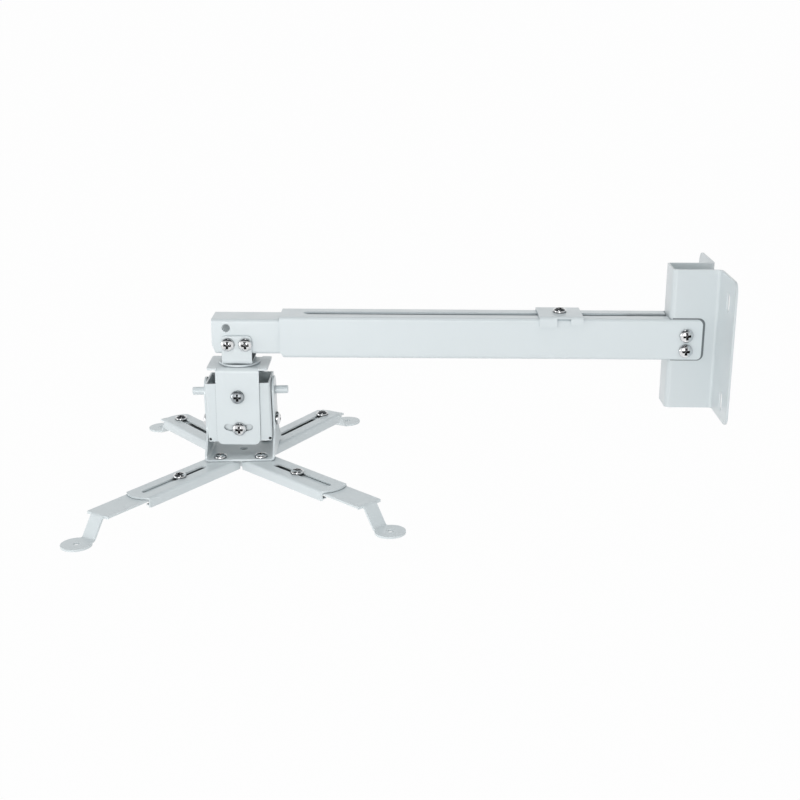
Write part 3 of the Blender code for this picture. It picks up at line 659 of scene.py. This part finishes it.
class OBJECT_OT_mount_centre_ring(Operator):
    """Turns the short ring that stands under the cradle between the four arms."""

    bl_idname = "object.mount_centre_ring"
    bl_label = "Centre Ring"

    def execute(self, context):
        pivots = [Vector(JOINTS[f"{corner}_swing"]["pos_m"]) for corner in CORNERS]
        centre = sum(pivots, Vector()) / 4
        deselect_all()
        bpy.ops.mesh.primitive_circle_add(vertices=48, radius=RING_RADIUS, location=(0, 0, 0))
        ring = context.object
        ring.name = "centre_ring"
        bpy.ops.object.mode_set(mode="EDIT")
        bpy.ops.mesh.select_all(action="SELECT")
        bpy.ops.mesh.extrude_region_move(TRANSFORM_OT_translate={"value": (0, 0, -RING_DEPTH)})
        bpy.ops.object.mode_set(mode="OBJECT")
        wall = ring.modifiers.new("wall", "SOLIDIFY")
        wall.thickness = RING_WALL
        wall.offset = 1
        round_edges(ring, TRIM_EDGE)
        apply_modifiers(ring)
        bpy.ops.object.mode_set(mode="EDIT")
        bpy.ops.mesh.select_all(action="SELECT")
        bpy.ops.mesh.normals_make_consistent(inside=False)
        bpy.ops.object.mode_set(mode="OBJECT")
        bpy.ops.object.shade_smooth_by_angle(angle=TRIM_SMOOTHING)
        axes = Matrix((HEAD_RIGHT, HEAD_UP.cross(HEAD_RIGHT), HEAD_UP)).transposed().to_4x4()
        ring.data.transform(Matrix.Translation(centre + HEAD_UP * RING_RISE) @ axes)
        ring.data.materials.append(finish_named("cool_white_enamel"))
        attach(ring, BODY_OF["lower_cradle"])
        return {"FINISHED"}


class OBJECT_OT_mount_shadow_sheets(Operator):
    """Lays a thin dark grey sheet between each ear of the tube and the wall bracket, as a painted
    shadow round the ear.
    """

    bl_idname = "object.mount_gaskets"
    # The ear sheets are a painted shadow round each ear.
    bl_label = "Ear Gaskets"

    def execute(self, context):
        low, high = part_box("outer_tube")
        channel = max(
            abs(point.y) for point in points_of("wall_bracket")
            if point.x < CHANNEL_START and abs(point.y) < CHANNEL_LIMIT
        )
        inner = channel + SHADOW_SHEET_GAP
        outer = inner + SHADOW_SHEET_THICKNESS
        for label, sign in (("front", -1), ("back", 1)):
            near, far = sorted((sign * inner, sign * outer))
            shadow_sheet = rounded_bar(
                f"ear_shadow_sheet_{label}", (SHADOW_SHEET_FAR_END, near, low[2] - SHADOW_SHEET_BELOW),
                (SHADOW_SHEET_WALL_END, far, high[2] + SHADOW_SHEET_ABOVE), SHADOW_SHEET_EDGE, SHADOW_SHEET_CORNER,
            )
            shadow_sheet.data.materials.append(finish_named("shadow_sheet_grey"))
            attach(shadow_sheet, BODY_OF["wall_bracket"])
        return {"FINISHED"}


# Fasteners


def cross_cutter(length, blade, depth):
    """The tapered cross that presses the recess into a screw's head, with its tip down."""
    tip_length, tip_width = 0.50, 0.62
    parts = []
    for turn in (0, 90):
        deselect_all()
        bpy.ops.mesh.primitive_cube_add(size=1, location=(0, 0, 0))
        part = bpy.context.object
        part.scale = (length, blade, 2 * depth)
        bpy.ops.object.transform_apply(location=False, rotation=False, scale=True)
        for vertex in part.data.vertices:
            if vertex.co.z < 0:
                vertex.co.x *= tip_length
                vertex.co.y *= tip_width
        part.data.transform(Matrix.Rotation(math.radians(turn), 4, "Z"))
        parts.append(part)
    return parts


def model_head(radius, height, shank, length, values):
    """A pan head with its rounded crown, a cross recess and a plain neck below it."""
    rim, crown, recess_depth, crown_steps = 0.3 * height, 0.7 * height, 0.95 * height, 6
    deselect_all()
    bpy.ops.mesh.primitive_cylinder_add(
        vertices=values.facets, radius=radius, depth=rim, location=(0, 0, rim / 2),
    )
    head = bpy.context.object
    pick_nothing("FACE")
    place_in_mesh(head)
    for face in head.data.polygons:
        face.select = face.normal.z > 0.9
    bpy.ops.object.mode_set(mode="EDIT")
    wide, rise = radius, 0.0
    for i in range(1, crown_steps + 1):
        turn = math.pi / 2 * i / (crown_steps + 0.5)
        narrower = radius * math.cos(turn)
        higher = crown * math.sin(turn)
        bpy.ops.mesh.inset(thickness=wide - narrower, depth=0)
        bpy.ops.transform.translate(value=(0, 0, higher - rise))
        wide, rise = narrower, higher
    bpy.ops.mesh.select_all(action="DESELECT")
    bpy.ops.object.mode_set(mode="OBJECT")
    for face in head.data.polygons:
        face.select = face.normal.z < -0.9
    bpy.ops.object.mode_set(mode="EDIT")
    bpy.ops.mesh.inset(thickness=radius - shank, depth=0)
    bpy.ops.mesh.extrude_region_move(TRANSFORM_OT_translate={"value": (0, 0, -length)})
    bpy.ops.object.mode_set(mode="OBJECT")
    for part in cross_cutter(2 * radius * values.recess, values.blade, recess_depth):
        part.data.transform(Matrix.Translation((0, 0, height)))
        cut_with(head, part, "DIFFERENCE")
    return head


def model_thread(radius, start, end, pitch):
    """A threaded stretch of a shank from start down to end, closed at both ends."""
    deselect_all()
    depth = 0.55 * pitch
    mesh = bpy.data.meshes.new("thread")
    profile = [(radius - depth, 0, 0), (radius, 0, -0.40 * pitch), (radius, 0, -0.55 * pitch),
               (radius - depth, 0, -0.95 * pitch), (radius - depth, 0, -pitch)]
    mesh.from_pydata(profile, [(i, i + 1) for i in range(len(profile) - 1)], [])
    obj = bpy.data.objects.new("thread", mesh)
    bpy.context.scene.collection.objects.link(obj)
    obj.location.z = start + 2 * pitch
    turns = math.ceil((start - end) / pitch) + 3
    screw = obj.modifiers.new("screw", "SCREW")
    screw.steps = 16
    screw.render_steps = 16
    screw.screw_offset = -pitch
    screw.iterations = turns
    screw.use_merge_vertices = True
    screw.merge_threshold = MERGE_DISTANCE
    apply_modifiers(obj)
    place_in_mesh(obj)
    bpy.ops.object.mode_set(mode="EDIT")
    bpy.ops.mesh.select_all(action="SELECT")
    bpy.ops.mesh.remove_doubles(threshold=MERGE_DISTANCE)
    for level, up in ((start, 1), (end, -1)):
        bpy.ops.mesh.select_all(action="SELECT")
        bpy.ops.mesh.bisect(
            plane_co=(0, 0, level), plane_no=(0, 0, up), use_fill=True, clear_outer=True,
        )
    bpy.ops.mesh.select_all(action="SELECT")
    bpy.ops.mesh.normals_make_consistent(inside=False)
    bpy.ops.object.mode_set(mode="OBJECT")
    return obj


def model_screw(radius, height, shank, length, values):
    """A whole screw along Z, with the underside of its head at the origin."""
    neck = min(LONGEST_NECK, 0.3 * length)
    head = model_head(radius, height, shank, neck, values)
    thread = model_thread(shank, -0.5 * neck, -length, values.pitch)
    deselect_all()
    thread.select_set(True)
    head.select_set(True)
    bpy.context.view_layer.objects.active = head
    bpy.ops.object.join()
    bpy.ops.object.shade_smooth_by_angle(angle=SCREW_SMOOTHING)
    return head


def screw_measures(node):
    """Where a CAD bolt sits: its head's underside, its direction, and its sizes."""
    up = facing(node)
    points = points_of(node)
    centre = sum(points, Vector()) / len(points)
    heights = [(point - centre).dot(up) for point in points]
    top = max(heights)
    radial = [((point - centre) - up * (point - centre).dot(up)).length for point in points]
    radius = max(radial)
    under = min(h for h, r in zip(heights, radial) if r > 0.98 * radius)
    shank = SWIVEL_SHANK if node.startswith("swivel") else SCREW_SHANK
    return centre + up * under, up, radius, top - under, shank, under - min(heights)


class OBJECT_OT_mount_screws(Operator):
    """Models each size of screw once and sets a copy in the place of each bolt."""

    bl_idname = "object.mount_screws"
    bl_label = "Cross-Recess Screws"

    def execute(self, context):
        values = settings().fasteners
        chrome = finish_named("bright_chrome")
        masters = {}
        bolts = [node for node in NODES if "bolt" in node
                 or (node.startswith(("roll_", "pitch_lock")) and "nut" not in node)]
        for number, node in enumerate(sorted(bolts)):
            place, up, radius, height, shank, length = screw_measures(node)
            size = tuple(round(value, 5) for value in (radius, height, shank, length))
            if size not in masters:
                masters[size] = model_screw(*size, values)
            obj = copy_of(masters[size], f"{node}_screw")
            uneven = 37 * number % 15 - 7
            turn = Matrix.Rotation(math.radians(uneven), 4, "Z")
            aim = up.to_track_quat("Z", "Y").to_matrix().to_4x4()
            obj.data.transform(Matrix.Translation(place) @ aim @ turn)
            worn = node.startswith("roll_pivot")
            stand_for(obj, node, finish_named("dull_chrome") if worn else chrome)
        remove_all(masters.values())
        return {"FINISHED"}


def model_nut(corner, height, bore):
    """A hexagon nut along Z from the origin down, with turned corners and a chamfered bore."""
    turned, chamfer, edge = 0.985 * corner, 0.13 * corner, 0.00015
    blank_spare, drill_spare = 0.0002, 0.002
    deselect_all()
    bpy.ops.mesh.primitive_cylinder_add(
        vertices=6, radius=corner, depth=height, location=(0, 0, -height / 2),
    )
    nut = bpy.context.object
    deselect_all()
    bpy.ops.mesh.primitive_cylinder_add(
        vertices=48, radius=turned, depth=height + blank_spare, location=(0, 0, -height / 2),
    )
    round_blank = bpy.context.object
    round_edges(round_blank, chamfer, math.radians(60))
    apply_modifiers(round_blank)
    deselect_all()
    bpy.ops.mesh.primitive_cylinder_add(
        vertices=32, radius=bore, depth=height + drill_spare, location=(0, 0, -height / 2),
    )
    drill = bpy.context.object
    cut_with(nut, round_blank, "INTERSECT")
    cut_with(nut, drill, "DIFFERENCE")
    round_edges(nut, edge)
    place_in_mesh(nut)
    apply_modifiers(nut)
    bpy.ops.object.shade_smooth_by_angle(angle=NUT_SMOOTHING)
    return nut


class OBJECT_OT_mount_nuts(Operator):
    """Models each size of nut once and sets a copy in the place of each nut."""

    bl_idname = "object.mount_nuts"
    bl_label = "Hexagon Nuts"

    def execute(self, context):
        zinc = finish_named("zinc_plating")
        masters = {}
        for node in sorted(node for node in NODES if "nut" in node):
            up = facing(node)
            points = points_of(node)
            centre = sum(points, Vector()) / len(points)
            flat = [(point - centre) - up * (point - centre).dot(up) for point in points]
            corner = max(flat, key=lambda offset: offset.length)
            heights = [(point - centre).dot(up) for point in points]
            bore = min(offset.length for offset in flat)
            size = tuple(round(v, 5) for v in (corner.length, max(heights) - min(heights), bore))
            if size not in masters:
                masters[size] = model_nut(*size)
            obj = copy_of(masters[size], f"{node}_hexagon")
            across = corner.normalized()
            axes = Matrix((across, up.cross(across), up)).transposed().to_4x4()
            place = Matrix.Translation(centre + up * max(heights))
            obj.data.transform(place @ axes)
            stand_for(obj, node, zinc)
        remove_all(masters.values())
        return {"FINISHED"}


# Studio


def background_rays(tree, place):
    """One where the camera, a reflection or glass looks at the background."""
    rays = add(tree, "ShaderNodeLightPath", place)
    either = add(tree, "ShaderNodeMath", (place[0] + 200, place[1]), operation="MAXIMUM")
    tree.links.new(rays.outputs["Is Camera Ray"], either.inputs[0])
    tree.links.new(rays.outputs["Is Glossy Ray"], either.inputs[1])
    through = add(tree, "ShaderNodeMath", (place[0] + 400, place[1]), operation="MAXIMUM")
    tree.links.new(either.outputs["Value"], through.inputs[0])
    tree.links.new(rays.outputs["Is Transmission Ray"], through.inputs[1])
    return through.outputs["Value"]


def make_world():
    """A white backdrop, a dark ceiling in the reflections and plain light from all round."""
    world = bpy.data.worlds.new("studio_room")
    bpy.context.scene.world = world
    world.use_nodes = True
    tree = world.node_tree
    tree.nodes.clear()
    direction = add(tree, "ShaderNodeTexCoord", (-900, 0)).outputs["Generated"]
    axes = add(tree, "ShaderNodeSeparateXYZ", (-700, 0))
    tree.links.new(direction, axes.inputs["Vector"])
    ceiling = add(tree, "ShaderNodeValToRGB", (-500, 0))
    colours = ((1, 1, 1, 1), DARK_CEILING)
    for element, position, colour in zip(ceiling.color_ramp.elements, CEILING_FADE, colours):
        element.position = position
        element.color = colour
    tree.links.new(axes.outputs["Z"], ceiling.inputs["Fac"])
    direct = add(tree, "ShaderNodeLightPath", (-500, 250))
    shown = add(tree, "ShaderNodeMix", (-320, 100), data_type="RGBA")
    shown.inputs["B"].default_value = BACKDROP
    tree.links.new(direct.outputs["Is Camera Ray"], shown.inputs["Factor"])
    tree.links.new(ceiling.outputs["Color"], shown.inputs["A"])
    seen = add(tree, "ShaderNodeBackground", (-150, 80))
    tree.links.new(shown.outputs["Result"], seen.inputs["Color"])
    room = add(tree, "ShaderNodeBackground", (-150, -120))
    room.inputs["Color"].default_value = ROOM_LIGHT
    room.inputs["Strength"].default_value = settings().studio.room
    mix = add(tree, "ShaderNodeMixShader", (100, 0))
    output = add(tree, "ShaderNodeOutputWorld", (300, 0))
    tree.links.new(background_rays(tree, (-500, 400)), mix.inputs["Fac"])
    tree.links.new(room.outputs["Background"], mix.inputs[1])
    tree.links.new(seen.outputs["Background"], mix.inputs[2])
    tree.links.new(mix.outputs["Shader"], output.inputs["Surface"])


def make_floor_finish():
    """A pale floor that shows near white and keeps part of the shadow on it."""
    material = new_material("pale_floor")
    tree = material.node_tree
    shader = shader_of(material)
    shader.inputs["Base Color"].default_value = FLOOR_COLOUR
    shader.inputs["Roughness"].default_value = 0.9
    shader.inputs["Specular IOR Level"].default_value = 0.1
    glow = add(tree, "ShaderNodeEmission", (-100, -300))
    glow.inputs["Color"].default_value = (1, 1, 1, 1)
    share = add(tree, "ShaderNodeMath", (-100, 300), operation="MULTIPLY")
    share.inputs[1].default_value = FLOOR_GLOW
    tree.links.new(background_rays(tree, (-700, 300)), share.inputs[0])
    mix = add(tree, "ShaderNodeMixShader", (150, 100))
    output = tree.nodes["Material Output"]
    tree.links.new(share.outputs["Value"], mix.inputs["Fac"])
    tree.links.new(shader.outputs["BSDF"], mix.inputs[1])
    tree.links.new(glow.outputs["Emission"], mix.inputs[2])
    tree.links.new(mix.outputs["Shader"], output.inputs["Surface"])
    return material


def add_area(name, place, size, power):
    """A round soft light that looks at the middle of the mount."""
    light = bpy.data.lights.new(name, "AREA")
    light.shape = "DISK"
    light.size = size
    light.energy = power
    obj = bpy.data.objects.new(name, light)
    bpy.context.scene.collection.objects.link(obj)
    obj.location = place
    obj.rotation_euler = (Vector(MIDDLE) - Vector(place)).to_track_quat("-Z", "Y").to_euler()
    obj.visible_camera = False


class OBJECT_OT_mount_studio(Operator):
    """Lays the pale floor, sets the soft lights and places the camera of the photograph."""

    bl_idname = "object.mount_studio"
    bl_label = "Studio and Camera"

    def execute(self, context):
        values = settings().studio
        scene = context.scene
        deselect_all()
        level = LOWEST - values.drop
        bpy.ops.mesh.primitive_plane_add(size=FLOOR_SIZE, location=(MIDDLE[0], 0, level))
        floor = context.object
        floor.name = "studio_floor"
        place_in_mesh(floor)
        floor.data.materials.append(make_floor_finish())
        make_world()
        add_area("key_light", KEY_PLACE, KEY_SIZE, values.key)
        add_area("top_light", TOP_PLACE, TOP_SIZE, values.top)
        add_area("side_light", SIDE_PLACE, SIDE_SIZE, values.side)
        camera = bpy.data.cameras.new("photo_camera")
        camera.lens = values.lens
        camera.sensor_width = 36
        camera.clip_start = 0.01
        obj = bpy.data.objects.new("photo_camera", camera)
        scene.collection.objects.link(obj)
        turn = (Matrix.Rotation(CAMERA_YAW, 4, "Z")
                @ Matrix.Rotation(math.pi / 2 - CAMERA_DOWN, 4, "X")
                @ Matrix.Rotation(CAMERA_ROLL, 4, "Z"))
        obj.matrix_world = Matrix.Translation(CAMERA_PLACE) @ turn
        scene.camera = obj
        scene.view_settings.view_transform = "Standard"
        return {"FINISHED"}


class MountSettings(PropertyGroup):
    enamel: PointerProperty(name="Enamel", description="The powder coat", type=EnamelSettings)
    fasteners: PointerProperty(
        name="Fasteners", description="Screws and nuts", type=FastenerSettings,
    )
    studio: PointerProperty(name="Studio", description="Floor, light and lens", type=StudioSettings)


OPERATORS = [
    OBJECT_OT_mount_sheet_metal,
    OBJECT_OT_mount_arm_lips,
    OBJECT_OT_mount_centre_ring,
    OBJECT_OT_mount_shadow_sheets,
    OBJECT_OT_mount_screws,
    OBJECT_OT_mount_nuts,
    OBJECT_OT_mount_studio,
]


class VIEW3D_PT_wall_mount(Panel):
    bl_label = "Wall Mount"
    bl_idname = "VIEW3D_PT_wall_mount"
    bl_space_type = "VIEW_3D"
    bl_region_type = "UI"
    bl_category = "Wall Mount"

    def draw(self, context):
        values = context.scene.wall_mount
        for group in (values.enamel, values.fasteners, values.studio):
            box = self.layout.box()
            for name in group.bl_rna.properties.keys():
                if name not in ("rna_type", "name"):
                    box.prop(group, name)
        for operator in OPERATORS:
            self.layout.operator(operator.bl_idname)


CLASSES = [EnamelSettings, FastenerSettings, StudioSettings, MountSettings, *OPERATORS,
           VIEW3D_PT_wall_mount]


def register():
    for cls in CLASSES:
        bpy.utils.register_class(cls)
    bpy.types.Scene.wall_mount = PointerProperty(type=MountSettings)


def unregister():
    del bpy.types.Scene.wall_mount
    for cls in reversed(CLASSES):
        bpy.utils.unregister_class(cls)


def main():
    register()
    deselect_all()
    bpy.ops.object.mount_sheet_metal()
    bpy.ops.object.mount_arm_lips()
    bpy.ops.object.mount_centre_ring()
    bpy.ops.object.mount_gaskets()
    bpy.ops.object.mount_screws()
    bpy.ops.object.mount_nuts()
    bpy.ops.object.mount_studio()


if __name__ == "__main__":
    main()
